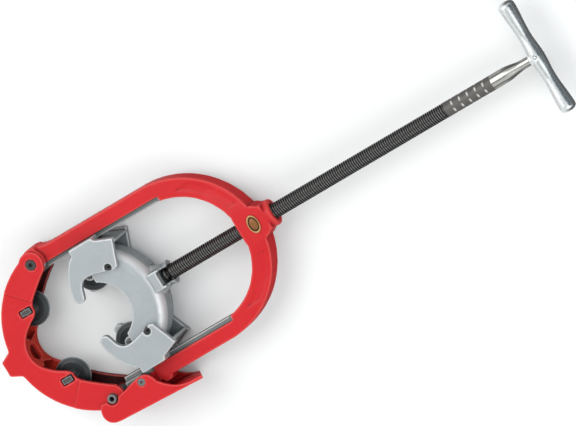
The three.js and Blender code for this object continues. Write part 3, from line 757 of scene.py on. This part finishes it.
def build_badge():
    """An oval plate with a raised rim, a groove and a slightly domed field."""
    low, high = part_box("oval_badge")
    centre = (low + high) / 2
    half_x, half_y = (high.x - low.x) / 2, (high.y - low.y) / 2
    top, bottom = high.z, low.z
    # (share of the half width, height above the plate's back as a share of its thickness, rim, groove)
    rings = [
        (0.0, 0.92, 0, 0), (0.20, 0.91, 0, 0), (0.40, 0.86, 0, 0), (0.55, 0.80, 0, 0), (0.60, 0.70, 0, 0),
        (0.63, 0.45, 0, 1), (0.78, 0.45, 0, 1), (0.81, 0.85, 1, 0), (0.86, 1.0, 1, 0), (0.93, 1.0, 1, 0),
        (0.98, 0.85, 1, 0), (1.0, 0.6, 1, 0), (1.0, 0.0, 0, 0),
    ]
    segments = 72
    points, rim, groove = [], [], []
    for share, rise, is_rim, is_groove in rings:
        for k in range(segments if share else 1):
            a = 2 * math.pi * k / segments
            points.append((
                centre.x + half_x * share * math.cos(a),
                centre.y + half_y * share * math.sin(a),
                bottom + (top - bottom) * rise,
            ))
            rim.append(is_rim)
            groove.append(is_groove)
    faces = [(0, 1 + k, 1 + (k + 1) % segments) for k in range(segments)]
    for i in range(len(rings) - 2):
        a, b = 1 + i * segments, 1 + (i + 1) * segments
        faces += [(a + k, b + k, b + (k + 1) % segments, a + (k + 1) % segments) for k in range(segments)]
    last = 1 + (len(rings) - 2) * segments
    faces.append([last + k for k in range(segments)][::-1])
    mesh = mesh_of("oval_badge", points, faces)
    outward(mesh)
    store(mesh, "rim", rim)
    store(mesh, "groove", groove)
    place("oval_badge_plate", mesh, "oval_badge", ["gold_badge"])


build_castings()
build_screw()
build_handle()
build_wheels()
build_pins()
build_small_parts()
build_spring()
build_badge()

# Camera, floor and light -------------------------------------------------------------------------------

TO_CAMERA = Vector((0.342, 0.055, 0.94)).normalized()
ROLL = math.radians(30.47)
LOOK_AT = Vector((427, -11, 0)) * MM
VIEW_WIDTH = 0.7291
CAMERA_DISTANCE = 20.0


def build_camera():
    """A distant camera above the tool, rolled so that the screw climbs to the right."""
    level = (X - TO_CAMERA * X.dot(TO_CAMERA)).normalized()
    over = TO_CAMERA.cross(level)
    right = level * math.cos(ROLL) - over * math.sin(ROLL)
    up = level * math.sin(ROLL) + over * math.cos(ROLL)
    camera = bpy.data.objects.new("camera", bpy.data.cameras.new("camera"))
    bpy.context.scene.collection.objects.link(camera)
    camera.matrix_world = Matrix.Translation(LOOK_AT + TO_CAMERA * CAMERA_DISTANCE) @ Matrix(
        (right, up, TO_CAMERA)
    ).transposed().to_4x4()
    camera.data.lens = camera.data.sensor_width * CAMERA_DISTANCE / VIEW_WIDTH
    camera.data.clip_start = 1.0
    camera.data.clip_end = 200.0
    bpy.context.scene.camera = camera


FLOOR_REACH = 30.0
FLOOR_GAP = 0.0005


def build_floor():
    """A wide pale floor just under the lowest point."""
    reach = FLOOR_REACH
    level = cad_box[0].z - FLOOR_GAP
    corners = [(-reach, -reach, level), (reach, -reach, level), (reach, reach, level), (-reach, reach, level)]
    floor = bpy.data.objects.new("floor", mesh_of("floor", corners, [(0, 1, 2, 3)]))
    bpy.context.scene.collection.objects.link(floor)
    look = Look("pale_floor", 0.0)
    tone = look.mix(look.noise(400, 2.0), grey(0.94, (0.985, 1, 1)), grey(0.965, (0.985, 1, 1)))
    # Polished metal sees dark cards laid on the floor everywhere but on the jaw's side
    incoming = look.tree.nodes.new("ShaderNodeNewGeometry").outputs["Incoming"]
    card = look.mix(look.ramp(look.cosine(incoming, X), 0.1, 0.5), grey(0.10), grey(0.85))
    tone = look.mix(look.ray("Glossy"), tone, card)
    floor.data.materials.append(look.finish(tone, 0.9))


def build_light():
    """An even white room with a few dark zones, and two large lamps."""
    world = bpy.data.worlds.new("studio")
    bpy.context.scene.world = world
    world.use_nodes = True
    sky = Nodes(world.node_tree)
    towards = sky.texture["Generated"]
    # Softly dark zones, so that polished metal has something to mirror
    mirrored = Vector((-TO_CAMERA.x, -TO_CAMERA.y, TO_CAMERA.z))
    overhead = sky.ramp(sky.cosine(towards, mirrored), 0.955, 0.985)
    handle_side = sky.ramp(sky.cosine(towards, (0.86, 0.0, 0.5)), 0.80, 0.93)
    low_sides = sky.math(
        "MULTIPLY",
        sky.ramp(sky.math("ABSOLUTE", sky.cosine(towards, Y)), 0.72, 0.9),
        sky.ramp(sky.cosine(towards, Z), 0.25, 0.5, 1, 0),
    )
    tone = sky.mix(overhead, grey(1.0), grey(0.30))
    tone = sky.mix(handle_side, tone, grey(0.16, (0.80, 1.0, 1.15)))
    tone = sky.mix(low_sides, tone, grey(0.25))
    tone = sky.mix(sky.ray("Camera"), tone, grey(0.95))
    background = sky.tree.nodes["Background"]
    sky.feed(background.inputs["Color"], tone)
    background.inputs["Strength"].default_value = 0.95

    for name, position, size, power in (
        ("key", (-0.7, 1.0, 2.1), 2.0, 22),
        ("fill", (1.4, -1.2, 1.7), 2.0, 16),
    ):
        lamp = bpy.data.objects.new(name, bpy.data.lights.new(name, "AREA"))
        bpy.context.scene.collection.objects.link(lamp)
        lamp.data.size = size
        lamp.data.energy = power
        lamp.location = Vector(position) + LOOK_AT
        lamp.rotation_mode = "QUATERNION"
        lamp.rotation_quaternion = Vector(position).to_track_quat("Z", "Y")


build_camera()
build_floor()
build_light()
bpy.context.scene.view_settings.view_transform = "Standard"
